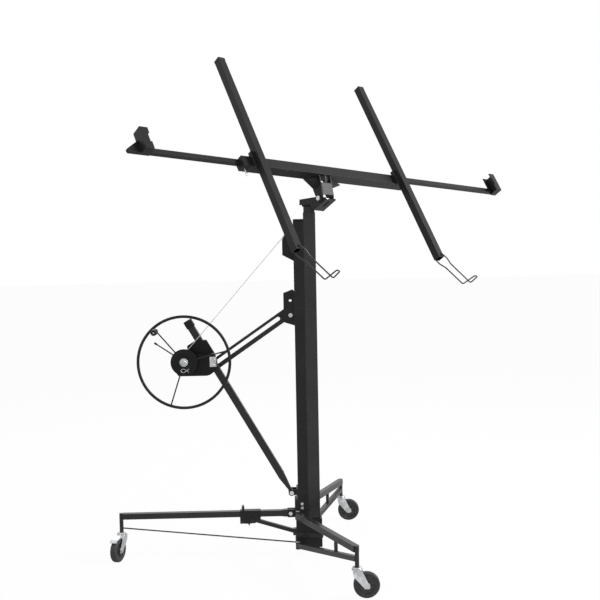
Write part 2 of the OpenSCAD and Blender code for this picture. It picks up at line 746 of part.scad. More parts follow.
truss_tilt = atan2(truss_z_post - truss_z_hub, rear_reach);
truss_run = norm([rear_reach, truss_z_post - truss_z_hub]);
module rear_leg(side) {
  rise = truss_z_hub + (truss_z_post - truss_z_hub) * 0.66;
  color(steel_black) rear_frame(side) difference() {
    union() {
      translate([8, 0, leg_z]) rotate([0, 90, 0]) square_tube(leg_tube, leg_wall, 0, rear_reach - 12);
      translate([0, 0, truss_z_hub]) rotate([0, 90 - truss_tilt, 0])
        square_tube(truss_tube, leg_wall, 8, truss_run - 4);
      span([rear_reach * 0.66, -6, rise + 4], [rear_reach * 0.66 + 10, 6, leg_z - leg_tube / 2 + 1]);
      for (z = [knuckle_lo, knuckle_hi]) translate([0, 0, z[0]]) cylinder(d = knuckle_d, h = z[1] - z[0]);
      translate([rear_reach, 0, post_z]) cylinder(d = post_d, h = leg_z + 13 - post_z);
    }
    translate([0, 0, -1]) cylinder(d = leg_pin_d + 2 * fit, h = 300);
    translate([0, 0, knuckle_lo[1]]) cylinder(d = knuckle_d + 12, h = knuckle_hi[0] - knuckle_lo[1]);
    translate([0, 0, knuckle_lo[0] - 30]) cylinder(d = knuckle_d + 12, h = 30);
    translate([rear_reach, 0, post_z - 1]) cylinder(d = stem_d + 2 * fit, h = stem_h + 2);
  }
}

module rear_leg_pins() {
  color(zinc) for (side = [-1, 1], z = [knuckle_lo, knuckle_hi]) translate([hinge_x, side * hinge_y, 0]) {
    translate([0, 0, z[0] - face_gap - lug_t]) cylinder(d = leg_pin_d, h = z[1] - z[0] + 2 * (face_gap + lug_t));
    translate([0, 0, z[1] + face_gap + lug_t]) cylinder(d = 16 / cos(30), h = 5, $fn = 6);
  }
  color(zinc) {
    shaft_y(front_pivot_x, leg_z, leg_pin_d, -leg_tube / 2 - lug_t, leg_tube / 2 + lug_t);
    for (side = [-1, 1]) hex_y(front_pivot_x, leg_z, 16, side > 0 ? leg_tube / 2 + lug_t - 0.5 : -leg_tube / 2 - lug_t - 5,
      side > 0 ? leg_tube / 2 + lug_t + 5 : -leg_tube / 2 - lug_t + 0.5);
  }
}

// Casters: stem and fork turn in the post, the wheel turns on its axle

stem_h = 42;
fork_in = wheel_w / 2 + 2;
axle_z = wheel_d / 2;
front_at = [-front_reach, 0];
front_yaw = 250;
rear_at = [hinge_x + rear_reach * cos(rear_angle), hinge_y + rear_reach * sin(rear_angle)];

module caster_frame(at, yaw) {
  translate([at[0], at[1], 0]) rotate(yaw) children();
}

module caster_fork(at, yaw) {
  cheek = [[-17, post_z - 10], [17, post_z - 10], [caster_trail + 13, axle_z - 6],
           [caster_trail + 8, axle_z - 12], [caster_trail - 8, axle_z - 12], [-15, post_z - 34]];
  crown = post_z - 10;
  color(zinc) caster_frame(at, yaw) difference() {
    union() {
      for (side = [-1, 1]) {
        a = side > 0 ? fork_in : -fork_in - fork_t;
        plate_y(cheek, a, a + fork_t);
        shaft_y(caster_trail, axle_z, 25, a, a + fork_t);
      }
      difference() {
        translate([0, 0, crown - 2.5]) cylinder(d = 42, h = 5);
        translate([0, 0, crown - 4]) difference() {
          cylinder(d = 60, h = 8);
          translate([-30, -fork_in - fork_t, -1]) cube([60, 2 * (fork_in + fork_t), 10]);
        }
      }
      translate([0, 0, crown + 2]) cylinder(d = 33, h = 7.5);
      translate([0, 0, crown]) cylinder(d = stem_d, h = stem_h + 8);
    }
    shaft_y(caster_trail, axle_z, caster_axle_d, -60, 60);
  }
}

module caster_wheel(at, yaw) {
  w = wheel_w / 2;
  color(tyre_black) caster_frame(at, yaw) translate([caster_trail, 0, axle_z]) rotate([90, 0, 0])
    rotate_extrude($fn = 96) polygon([[caster_axle_d / 2 + fit, -w - 1.5], [12, -w - 1.5], [14, -w + 3],
      [31, -w + 5], [34, -w + 1], [44, -w], [49, -w + 3], [axle_z, -w + 8], [axle_z, w - 8], [49, w - 3],
      [44, w], [34, w - 1], [31, w - 5], [14, w - 3], [12, w + 1.5], [caster_axle_d / 2 + fit, w + 1.5]]);
}

module caster_axle(at, yaw) {
  out = fork_in + fork_t;
  color(zinc) caster_frame(at, yaw) {
    shaft_y(caster_trail, axle_z, caster_axle_d, -out, out);
    for (side = [-1, 1]) hex_y(caster_trail, axle_z, 13, side > 0 ? out : -out - 5, side > 0 ? out + 5 : -out);
  }
}

// Foot tab of the front caster's brake, over the top of the wheel
brake_pivot = [26, 106];
module front_caster_brake() {
  tab = [[16, 104.5], [30, 104.5], [caster_trail + 26, 100], [caster_trail + 41, 92], [caster_trail + 43, 96],
         [caster_trail + 28, 104.5], [30, 112], [18, 112]];
  color(zinc) caster_frame(front_at, front_yaw) difference() {
    union() {
      plate_y(tab, -fork_in + face_gap, fork_in - face_gap);
      shaft_y(brake_pivot[0], brake_pivot[1], 7, -fork_in + face_gap, fork_in - face_gap);
    }
    translate([0, 0, crown_clear]) cylinder(d = 43, h = 30);
  }
}
crown_clear = post_z - 13.5;

// Cradle head: a bush in the inner mast, a swivel block, a leaning bracket and the saddle

// Frame of the head: +Z up, +X along the beam in plan, -Y to the board, on the mast's axis
module head_frame() {
  translate([inner_mid, 0, 0]) rotate(beam_yaw) children();
}

// Frame of the leaning bracket: on the lean pin
module lean_frame() {
  head_frame() translate([0, 0, lean_z]) rotate([0, beam_lean, 0]) children();
}

// Frame of the saddle: on the tilt pin, +Y to the beam's centre and +Z to its front
module saddle_frame() {
  lean_frame() translate([0, -tilt_out, tilt_pin_z - lean_z]) rotate([cradle_tilt + beam_turn, 0, 0]) children();
}

// Frame of the cradle: +X along the beam, +Y up the support arms, +Z to the board
module cradle_frame() {
  saddle_frame() translate([beam_shift, tilt_arm, 0]) rotate([-beam_turn, 0, 0]) children();
}

bush_lid = 3;
lean_z = inner_top + 20;
block_w = 30;
bracket_in = 24;
bracket_t = 4;
module swivel_bush() {
  color(plastic_black) difference() {
    union() {
      slab(inner_lo + inner_wall, inner_hi - inner_wall, inner_y - 2 * inner_wall, inner_top - 60, inner_top);
      slab(inner_lo, inner_hi, inner_y, inner_top, inner_top + bush_lid - face_gap);
    }
    translate([inner_mid, 0, inner_top - 61]) cylinder(d = spigot_d + 2 * fit, h = 80);
  }
}

module swivel_head() {
  color(steel_black) head_frame() difference() {
    union() {
      translate([0, 0, inner_top - 66]) cylinder(d = spigot_d, h = 66 + bush_lid + 4);
      span([-block_w / 2, 1 - front_wall, inner_top + bush_lid], [block_w / 2, back_reach - 1, lean_z + 15]);
    }
    translate([0, 0, lean_z]) shaft_y(0, 0, lean_pin_d + 2 * fit, -90, 90);
  }
}

// Leaning bracket: two cheeks, a front and a rear wall on the lean pin, and a slotted toe
back_reach = 28;
front_wall = 38;
toe_from = [64, -38];
toe_to = [140, 6];
module lean_bracket() {
  top = tilt_pin_z - lean_z;
  cheek = [[back_reach, -12], [back_reach, top], [-tilt_out + 8, top + 8], [-tilt_out - 8, top + 8],
           [-toe_to[0], toe_to[1] + 4], [-toe_to[0], toe_to[1]], [-toe_from[0], toe_from[1]], [-front_wall, -12]];
  toe_len = norm(toe_to - toe_from);
  toe_tilt = atan2(toe_to[1] - toe_from[1], toe_to[0] - toe_from[0]);
  color(steel_black) lean_frame() difference() {
    union() {
      for (x = [-bracket_in - bracket_t, bracket_in]) translate([x, 0, 0]) rotate([90, 0, 90])
        linear_extrude(bracket_t) polygon(cheek);
      span([-bracket_in - 1, back_reach - 0.5, -11], [bracket_in + 1, back_reach + 4, top - 2]);
      span([-bracket_in - 1, -front_wall - 4, -11], [bracket_in + 1, -front_wall, top - 2]);
      translate([0, -toe_from[0], toe_from[1]]) rotate([-toe_tilt, 0, 0]) difference() {
        span([-bracket_in - 1, 1 - toe_len, 0.5], [bracket_in + 1, -1, 3.5]);
        span([-5, -toe_len + 14, -1], [5, -toe_len + 52, 4]);
      }
    }
    shaft_y(0, 0, lean_pin_d, -90, 90);
    translate([-90, -tilt_out, top]) rotate([0, 90, 0]) cylinder(d = tilt_pin_d, h = 180);
  }
}

// Bolts of the head: the lean pin, front to back, and the tilt pin, side to side
module head_bolts() {
  out = bracket_in + bracket_t + face_gap + cheek_t + 1;
  color(zinc) lean_frame() {
    shaft_y(0, 0, lean_pin_d, -front_wall - 10, back_reach + 10);
    hex_y(0, 0, 19, back_reach + 4, back_reach + 12);
    hex_y(0, 0, 19, -front_wall - 12, -front_wall - 4);
    translate([-out, -tilt_out, tilt_pin_z - lean_z]) rotate([0, 90, 0]) {
      cylinder(d = tilt_pin_d, h = 2 * out);
      for (z = [-7, 2 * out]) translate([0, 0, z]) cylinder(d = 19 / cos(30), h = 7, $fn = 6);
    }
  }
}

// Saddle: a folded channel on the tilt pin, open to the back, with two wings under the beam
cheek_t = 4;
cheek_x = bracket_in + bracket_t + face_gap;
wing_t = 3;
wing_half = 88;
module saddle_wing(side) {
  hull() for (p = [[0, tilt_arm - 14, 22], [side > 0 ? wing_half + 32 : -wing_half, side > 0 ? tilt_arm - 34 : tilt_arm - 22, -22],
                   [side * cheek_x, 44, -24], [0, 56, 18]])
    translate(p) cube(wing_t, center = true);
}

module cradle_saddle() {
  color(steel_black) difference() {
    saddle_frame() difference() {
      union() {
        for (x = [-cheek_x - cheek_t, cheek_x]) translate([x, 0, 0]) rotate([90, 0, 90]) linear_extrude(cheek_t)
          polygon([[-8, -18], [8, -18], [46, -30], [tilt_arm, -24], [tilt_arm, 20], [60, 22], [8, 24], [-8, 18], [-17, 8], [-17, -8]]);
        span([-cheek_x - 1, 10, 20], [cheek_x + 1, 62, 24]);
        difference() {
          for (side = [-1, 1]) saddle_wing(side);
          span([-cheek_x, 0, -60], [cheek_x, 76, 17.5]);
        }
      }
      translate([-90, 0, 0]) rotate([0, 90, 0]) cylinder(d = tilt_pin_d + 2 * fit, h = 180);
    }
    cradle_frame() rotate([0, 90, 0]) translate([0, 0, -200])
      translate([-beam_w / 2, -beam_w / 2, 0]) cube([beam_w, beam_w, 400]);
  }
}

collar_len = 35;
module main_beam() {
  color(steel_black) cradle_frame() {
    rotate([0, 90, 0]) square_tube(beam_w, beam_wall, -beam_half, beam_half);
    for (side = [-1, 1]) scale([side, 1, side]) difference() {
      union() {
        span([beam_half, -beam_w / 2 + 0.5, -beam_w / 2 + 0.5], [beam_half + collar_len, beam_w / 2 - 0.5, beam_w / 2 - 0.5]);
        span([beam_half - 20, -beam_w / 2 + beam_wall, -beam_w / 2 + beam_wall],
             [beam_half + 1, beam_w / 2 - beam_wall, beam_w / 2 - beam_wall]);
      }
      span([beam_half - 21, ext_off - ext_w / 2 - 0.1, ext_off - ext_w / 2 - 0.1],
           [beam_half + collar_len + 1, ext_off + ext_w / 2 + 0.1, ext_off + ext_w / 2 + 0.1]);
    }
  }
}

ext_off = (ext_w + 0.4) / 2;
module extension(side, out, off_n) {
  color(steel_black) cradle_frame() translate([0, ext_off, off_n])
    rotate([0, 90, 0]) square_tube(ext_w, 1.8, side > 0 ? out - ext_len : -out, side > 0 ? out : -out + ext_len);
}

// End catch: a folded upright at the end of an extension that holds the board's end
catch_w = 36;
catch_low = -20;
catch_back = -0.2;
catch_n = 46;
module catch(side, out, off_n, foot) {
  top = catch_low + catch_h;
  back = off_n > 0 ? 2 * off_n + catch_back : catch_back;
  front = back + catch_n;
  color(steel_black) cradle_frame() scale([side, 1, 1]) {
    // outer side plate, and the lip in front of the board
    span([out, catch_low, back], [out + 4, top, front]);
    span([out - catch_w + 4, top - 26, front - 4], [out + 4, top, front]);
    span([out - catch_w + 11, catch_low, front - 4], [out + 4, top, front]);
    span([out - catch_w + 4, catch_low, front - 4], [out + 4, catch_low + 32, front]);
    // floor, and the back strip on the tube
    span([out - catch_w + 4, catch_low, back], [out + 4, catch_low + 4, front]);
    span([out - catch_w + 4, catch_low, back], [out + 4, foot ? ext_w + 12 : top, back + 4]);
    if (foot) translate([0, 0, back]) linear_extrude(14)
      polygon([[out, 40], [out + 63, catch_low + 12], [out + 60, catch_low], [out, catch_low]]);
  }
}

// Lock pins with rings that hold the extensions
module beam_lock_pins() {
  color(zinc) cradle_frame() for (side = [-1, 1]) translate([side * (beam_half + 20), 0, 0]) {
    translate([0, -46, 0]) rotate([-90, 0, 0]) cylinder(d = 6, h = 46 - beam_w / 2 + 0.5);
    translate([0, -52, 0]) rotate([0, 90, 0]) rotate_extrude() translate([7, 0]) circle(d = 2, $fn = 16);
  }
}

// Support arms cross the beam in front and carry the board

arm_n = beam_w / 2 + 5 + arm_tube / 2;
module support_arm(side) {
  color(steel_black) cradle_frame() translate([side * arm_at, 0, arm_n]) difference() {
    union() {
      rotate([-90, 0, 0]) square_tube(arm_tube, arm_wall, -arm_down, arm_up);
      span([-arm_tube / 2 - 0.5, arm_up - 8, -arm_tube / 2 - 0.5], [arm_tube / 2 + 0.5, arm_up + 3, arm_tube / 2 + 0.5]);
      // shoe that holds the arm to its pivot
      span([-30, -34, -arm_tube / 2 - 4], [30, 34, -arm_tube / 2]);
      span([-30, -34, -arm_tube / 2 - 1], [-arm_tube / 2, 34, -arm_tube / 2 + 14]);
      span([arm_tube / 2, -34, -arm_tube / 2 - 1], [30, 34, -arm_tube / 2 + 14]);
    }
    translate([0, 0, -60]) cylinder(d = pivot_d + 2 * fit, h = 60 - arm_tube / 2 + arm_wall + 1);
    translate([0, -arm_down + 14, -60]) cylinder(d = hook_d + 2 * fit, h = 120);
  }
}

pivot_d = 12;
module arm_pivots() {
  color(zinc) cradle_frame() for (side = [-1, 1]) translate([side * arm_at, 0, 0]) {
    translate([0, 0, beam_w / 2]) cylinder(d = pivot_d, h = 5 + arm_wall + 2);
    translate([0, 0, beam_w / 2]) cylinder(d = 30, h = 0.7);
    translate([0, 0, arm_n - arm_tube / 2 + arm_wall]) cylinder(d = 20, h = 4);
  }
}

// Board hooks: bent wire that swings on the arm's lower end
hook_run = 164;
hook_lip = 44;
hook_turn = 37;
module board_hook(side) {
  r = arm_tube / 2;
  color(zinc * 0.3) cradle_frame() translate([side * arm_at, -arm_down + 14, arm_n]) rotate(hook_turn) {
    points = [[0, 0, -r - 6], [-3.6, -30, -r - 6], [-3.6, -62, -13], [-3.6, -hook_run, -13],
              [-3.6, -hook_run - 4, r + hook_lip], [3.6, -hook_run - 16, r + hook_lip],
              [3.6, -hook_run - 18, 14], [3.6, -62, 14], [3.6, -30, r + 6], [0, 0, r + 6]];
    for (i = [0 : len(points) - 1]) {
      rod(points[i], points[(i + 1) % len(points)], hook_d);
      translate(points[i]) sphere(d = hook_d + 0.3, $fn = 24);
    }
  }
}

// The origin is on the floor, under the middle of the whole hoist as it stands
centre_x = 65.23;
centre_y = 10.89;
module centred() {
  translate([-centre_x, -centre_y, 0]) children();
}

centred() hub();
centred() mast_rail();
centred() mast_cap();
centred() pulley_bracket();
centred() top_pulley();
centred() pulley_pin();
centred() winch_gusset();
centred() gusset_bolt();
centred() strut_bracket();
centred() strut_pin();
centred() foot_bolts();
centred() mast_middle();
centred() middle_shoes();
centred() mast_inner();
centred() front_leg();
centred() front_brace();
centred() leg_sleeve();
centred() stay_rod();
centred() leg_lock_pin();
centred() rear_leg(-1);  // rear_leg_near
centred() rear_leg(1);  // rear_leg_far
centred() rear_leg_pins();
centred() caster_fork(front_at, front_yaw);  // front_caster_fork
centred() caster_wheel(front_at, front_yaw);  // front_caster_wheel
centred() caster_axle(front_at, front_yaw);  // front_caster_axle
centred() front_caster_brake();
centred() caster_fork([rear_at[0], -rear_at[1]], 0);  // near_caster_fork
centred() caster_wheel([rear_at[0], -rear_at[1]], 0);  // near_caster_wheel
centred() caster_axle([rear_at[0], -rear_at[1]], 0);  // near_caster_axle
centred() caster_fork(rear_at, 0);  // far_caster_fork
centred() caster_wheel(rear_at, 0);  // far_caster_wheel
centred() caster_axle(rear_at, 0);  // far_caster_axle
centred() winch_strut();
centred() strut_cap();
centred() slotted_arm();
centred() winch_housing();
centred() housing_bolts();
centred() hand_wheel();
centred() winch_drum();
centred() winch_axle();
centred() axle_clip();
centred() crank_knob();
centred() brake_lever();
centred() winch_cable();
centred() swivel_bush();
centred() swivel_head();
centred() lean_bracket();
centred() head_bolts();
centred() cradle_saddle();
centred() main_beam();
centred() extension(-1, ext_left_out, -ext_off);  // extension_left
centred() extension(1, ext_right_out, ext_off);  // extension_right
centred() catch(-1, ext_left_out, -ext_off, true);  // catch_left
centred() catch(1, ext_right_out, ext_off, false);  // catch_right
centred() beam_lock_pins();
centred() support_arm(-1);  // support_arm_left
centred() support_arm(1);  // support_arm_right
centred() arm_pivots();
centred() board_hook(-1);  // board_hook_left
centred() board_hook(1);  // board_hook_right
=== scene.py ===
# Drywall panel hoist: looks of the rolling base, the telescoping mast, the
# hand winch and the tilting cradle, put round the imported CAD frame. Pieces are
# laid out in millimetres from the mast's foot, and settle() moves them there.
import math
import bpy
from mathutils import Euler, Matrix, Vector


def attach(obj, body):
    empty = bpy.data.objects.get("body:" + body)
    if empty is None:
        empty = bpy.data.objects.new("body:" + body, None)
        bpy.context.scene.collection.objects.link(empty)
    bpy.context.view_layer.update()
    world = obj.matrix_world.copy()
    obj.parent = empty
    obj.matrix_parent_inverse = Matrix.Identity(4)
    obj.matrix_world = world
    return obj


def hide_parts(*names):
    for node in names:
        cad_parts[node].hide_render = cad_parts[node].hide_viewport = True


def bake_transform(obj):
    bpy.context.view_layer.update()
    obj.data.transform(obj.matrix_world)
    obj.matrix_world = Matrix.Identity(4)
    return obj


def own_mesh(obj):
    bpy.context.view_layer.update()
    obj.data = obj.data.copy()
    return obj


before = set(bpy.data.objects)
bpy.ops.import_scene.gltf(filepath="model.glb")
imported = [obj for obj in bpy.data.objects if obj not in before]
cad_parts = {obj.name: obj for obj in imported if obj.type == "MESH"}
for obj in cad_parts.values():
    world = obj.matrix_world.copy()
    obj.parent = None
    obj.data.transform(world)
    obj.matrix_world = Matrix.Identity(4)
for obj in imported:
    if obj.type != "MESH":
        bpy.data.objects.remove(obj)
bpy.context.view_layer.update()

# Camera: level with the mast, a little to the left of it and tilted down by
# three degrees, with a one degree roll, on a 60 mm lens. The frame's origin is
# under the middle of the whole hoist, so the mast's foot has a place of its own.
mast_foot = Matrix.Translation((-0.06523, -0.01089, 0))
pitch = math.radians(3.4336)
roll = math.radians(1.05)
orbit = math.radians(-0.9)
camera_spot = (-0.02278, -4.29228, 1.373)
level = Vector((1, 0, 0))
ahead = Vector((0, math.cos(pitch), -math.sin(pitch)))
above = Vector((0, math.sin(pitch), math.cos(pitch)))
view_right = math.cos(roll) * level - math.sin(roll) * above
view_up = math.sin(roll) * level + math.cos(roll) * above
stand = Matrix.Translation(camera_spot) @ Matrix((view_right, view_up, -ahead)).transposed().to_4x4()
bpy.ops.object.camera_add()
camera = bpy.context.object
camera.name = "camera"
camera.data.lens = 60
camera.data.sensor_width = 36
camera.data.clip_end = 60
camera.matrix_world = mast_foot @ Matrix.Rotation(orbit, 4, "Z") @ stand
bpy.context.scene.camera = camera
bpy.context.scene.view_settings.view_transform = "Standard"

# Studio: three soft lamps and a white surround. What the camera and a gloss
# see of the surround is white, and it lights the hoist at a lower level.


def add_node(tree, kind, values=None):
    """Adds a shader node and sets its inputs, given by label or by number."""
    node = tree.nodes.new("ShaderNode" + kind)
    for label, value in (values or {}).items():
        node.inputs[label].default_value = value
    return node


def link_up(tree, *pairs):
    """Joins outputs to inputs, pair by pair."""
    for source, target in pairs:
        tree.links.new(source, target)


surround_light = 0.36
surround = bpy.data.worlds.new("surround")
surround.use_nodes = True
bpy.context.scene.world = surround
sky = surround.node_tree
backdrop = sky.nodes["Background"]
backdrop.inputs["Color"].default_value = (1, 1, 1, 1)
ray = add_node(sky, "LightPath")
seen_or_gloss = add_node(sky, "Math")
seen_or_gloss.operation = "MAXIMUM"
seen_at_all = add_node(sky, "Math")
seen_at_all.operation = "MAXIMUM"
strength = add_node(sky, "MapRange", {"To Min": surround_light, "To Max": 1.0})
link_up(sky, (ray.outputs["Is Camera Ray"], seen_or_gloss.inputs[0]),
        (ray.outputs["Is Glossy Ray"], seen_or_gloss.inputs[1]),
        (seen_or_gloss.outputs[0], seen_at_all.inputs[0]),
        (ray.outputs["Is Transmission Ray"], seen_at_all.inputs[1]),
        (seen_at_all.outputs[0], strength.inputs["Value"]),
        (strength.outputs[0], backdrop.inputs["Strength"]))

lamps = (("key", (4.2, -0.7, 3.1), 1.4, 220),
         ("fill", (-3.0, -3.4, 2.4), 2.2, 38),
         ("rim", (-1.0, 3.2, 3.4), 1.6, 60))
lit_middle = Vector((0, 0, 1.0))
for label, place, size, power in lamps:
    bpy.ops.object.light_add(type="AREA", location=place)
    lamp = bpy.context.object
    lamp.name = label + "_lamp"
    lamp.data.size = size
    lamp.data.energy = power
    lamp.rotation_euler = (lit_middle - Vector(place)).to_track_quat("-Z", "Y").to_euler()

# Floor: one pale sheet that runs past the view and keeps the hoist's shadow.
# Most of what the camera sees of it is a glow of its own, so it stays white.
floor_size = 60
floor_glow = 0.96
floor_white = 0.86
bpy.ops.mesh.primitive_plane_add(size=floor_size)
floor = bpy.context.object
floor.name = "floor"
paper = bpy.data.materials.new("pale_floor")
paper.use_nodes = True
sheet = paper.node_tree
matt = sheet.nodes["Principled BSDF"]
matt.inputs["Base Color"].default_value = (floor_white, floor_white, floor_white, 1)
matt.inputs["Roughness"].default_value = 0.9
glow = add_node(sheet, "Emission")
either = add_node(sheet, "MixShader")
share = add_node(sheet, "Math", {1: floor_glow})
share.operation = "MULTIPLY"
path = add_node(sheet, "LightPath")
link_up(sheet, (path.outputs["Is Camera Ray"], share.inputs[0]), (share.outputs[0], either.inputs[0]),
        (matt.outputs[0], either.inputs[1]), (glow.outputs[0], either.inputs[2]),
        (either.outputs[0], sheet.nodes["Material Output"].inputs["Surface"]))
floor.data.materials.append(paper)

# Mast: three steel box tubes, one in another, welded, and powder coated in a
# satin black. The coat has a fine orange peel, and its edges are painted
# lighter, partly as rubbed wear and partly as a painted highlight. The two
# sliding tubes have a glossier copy of the rail's coat whose lighter colour is
# painted light, standing in for the light that falls on their side.


def finish(name, colour, rough, peel, peel_height, patches, edge_wear_and_highlight, edge_wear_and_highlight_share,
           metallic=0, specular=0.5, soften=0.0012):
    """A hard finish: its colour and gloss drift in patches, and its sharp edges are rounded and painted
    lighter, partly as rubbed wear and partly as a painted highlight.
    """
    gloss_below, gloss_above = 0.07, 0.10
    darkest, lightest = 0.8, 1.25
    flat_from, sharp_at = 0.97, 0.80
    material = bpy.data.materials.new(name)
    material.use_nodes = True
    tree = material.node_tree
    shader = tree.nodes["Principled BSDF"]
    shader.inputs["Metallic"].default_value = metallic
    shader.inputs["Specular IOR Level"].default_value = specular
    spot = add_node(tree, "TexCoord")
    broad = add_node(tree, "TexNoise", {"Scale": patches, "Detail": 5})
    fine = add_node(tree, "TexNoise", {"Scale": peel, "Detail": 2})
    gloss = add_node(tree, "MapRange", {"To Min": rough - gloss_below, "To Max": rough + gloss_above})
    drift = add_node(tree, "ValToRGB")
    dark, light = drift.color_ramp.elements
    dark.position = 0.3
    light.position = 0.7
    dark.color = (*[c * darkest for c in colour], 1)
    light.color = (*[min(1, c * lightest) for c in colour], 1)
    soft = add_node(tree, "Bevel", {"Radius": soften})
    soft.samples = 4
    shape = add_node(tree, "NewGeometry")
    turn = add_node(tree, "VectorMath")
    turn.operation = "DOT_PRODUCT"
    # Edges are painted lighter: partly rubbed wear, partly a painted highlight where light catches the
    # rounded edges.
    edge = add_node(tree, "MapRange", {"From Min": flat_from, "From Max": sharp_at, "To Max": edge_wear_and_highlight_share})
    wear_and_highlight_mask = add_node(tree, "Math")
    wear_and_highlight_mask.operation = "MULTIPLY"
    worn_and_highlit = add_node(tree, "Mix")
    worn_and_highlit.data_type = "RGBA"
    worn_and_highlit.inputs["B"].default_value = (*edge_wear_and_highlight, 1)
    relief = add_node(tree, "Bump", {"Distance": peel_height, "Strength": 0.6})
    link_up(tree, (spot.outputs["Object"], broad.inputs["Vector"]),
            (spot.outputs["Object"], fine.inputs["Vector"]),
            (broad.outputs[0], gloss.inputs["Value"]), (gloss.outputs[0], shader.inputs["Roughness"]),
            (broad.outputs[0], drift.inputs[0]), (drift.outputs[0], worn_and_highlit.inputs["A"]),
            (soft.outputs[0], turn.inputs[0]), (shape.outputs["Normal"], turn.inputs[1]),
            (turn.outputs["Value"], edge.inputs["Value"]), (edge.outputs[0], wear_and_highlight_mask.inputs[0]),
            (broad.outputs[0], wear_and_highlight_mask.inputs[1]), (wear_and_highlight_mask.outputs[0], worn_and_highlit.inputs["Factor"]),
            (worn_and_highlit.outputs["Result"], shader.inputs["Base Color"]),
            (fine.outputs[0], relief.inputs["Height"]), (soft.outputs[0], relief.inputs["Normal"]),
            (relief.outputs[0], shader.inputs["Normal"]))
    return material


def dress(material, *nodes):
    """Puts a finish on CAD pieces that keep their own shape."""
    for node in nodes:
        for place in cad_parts[node].material_slots:
            place.material = material


satin_coat = finish("satin_black_coat", (0.013, 0.013, 0.014), rough=0.42, specular=0.2,
                    peel=900, peel_height=0.00012, patches=7,
                    edge_wear_and_highlight=(0.13, 0.13, 0.13), edge_wear_and_highlight_share=0.85, soften=0.0018)
dress(satin_coat, "mast_rail", "pulley_bracket")
# A lighter, glossier copy of the rail's coat: the lighter colour is painted light for the sliding tubes' lit
# side.
lit_slide_coat = finish("slide_tube_lit_coat", (0.030, 0.030, 0.031), rough=0.36, specular=0.26,
                    peel=900, peel_height=0.00010, patches=6,
                    edge_wear_and_highlight=(0.13, 0.13, 0.13), edge_wear_and_highlight_share=0.85, soften=0.0018)
dress(lit_slide_coat, "mast_middle", "mast_inner")

# Mast's plastic: the cap on the rail, the sliding shoes and the bush that the
# head turns in are moulded in a grained black plastic.
moulded_black = finish("moulded_black", (0.010, 0.010, 0.011), rough=0.52, specular=0.22,
                       peel=1500, peel_height=0.00016, patches=25,
                       edge_wear_and_highlight=(0.035, 0.035, 0.035), edge_wear_and_highlight_share=0.5)
dress(moulded_black, "mast_cap", "middle_shoes", "swivel_bush")

# Hub and its welds: steel plate boxed round the mast's foot. Each bead is a
# row of small puddles laid where two plates meet, under the same coat. The
# strut's bracket and the winch's gusset are welded up the rail alike.


def place_mm(x, y, z, turned=(0, 0, 0)):
    """A place in millimetres, with turns in degrees about X, then Y, then Z."""
    turns = Euler([math.radians(angle) for angle in turned])
    return Matrix.Translation((x / 1000, y / 1000, z / 1000)) @ turns.to_matrix().to_4x4()


def choose(piece):
    """Selects one piece alone and makes it the active one."""
    bpy.ops.object.select_all(action="DESELECT")
    piece.select_set(True)
    bpy.context.view_layer.objects.active = piece


def settle(piece, name, body, material, smooth=35):
    """Names a finished piece, gives it its finish and hangs it on its body, unless it bends between two."""
    piece.name = name
    piece.data.name = name
    piece.data.transform(mast_foot)
    choose(piece)
    bpy.ops.object.transform_apply(location=True, rotation=True, scale=True)
    bpy.ops.object.shade_smooth_by_angle(angle=math.radians(smooth))
    piece.data.materials.clear()
    piece.data.materials.append(material)
    if body:
        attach(piece, body)
    return piece


def wire_mesh(points, radii, place=Matrix.Identity(4), closed=False, sides=2):
    """A round bar along points in millimetres, with its own radius at each."""
    line = bpy.data.curves.new("bar", "CURVE")
    line.dimensions = "3D"
    line.bevel_depth = 0.001
    line.bevel_resolution = sides
    line.use_fill_caps = not closed
    run = line.splines.new("POLY")
    run.points.add(len(points) - 1)
    run.use_cyclic_u = closed
    for spot, point, radius in zip(run.points, points, radii):
        spot.co = (*(place @ (Vector(point) / 1000)), 1)
        spot.radius = radius
    piece = bpy.data.objects.new("bar", line)
    bpy.context.collection.objects.link(piece)
    choose(piece)
    bpy.ops.object.convert(target="MESH")
    return bpy.context.object


def join(parts):
    """Makes one piece of several."""
    choose(parts[0])
    for part in parts[1:]:
        part.select_set(True)
    bpy.ops.object.join()
    return bpy.context.object


def weld(runs, place=Matrix.Identity(4), radius=2.3):
    """Weld beads along runs of corner points, in millimetres, as one mesh."""
    puddle_step, puddle_turn = 0.8, 1.25
    thinnest, swell = 0.9, 0.16
    end_share = 0.8
    beads = []
    for run in runs:
        line, radii, walked = [], [], 0
        for a, b in zip(run, run[1:]):
            a, b = Vector(a), Vector(b)
            length = (b - a).length
            steps = max(2, int(length / puddle_step))
            for k in range(steps):
                line.append(a + (b - a) * k / steps)
                radii.append(radius * (thinnest + swell * abs(math.sin(walked * puddle_turn))))
                walked += length / steps
        line.append(Vector(run[-1]))
        radii.append(radius * end_share)
        beads.append(wire_mesh(line, radii, place, sides=1))
    return join(beads)


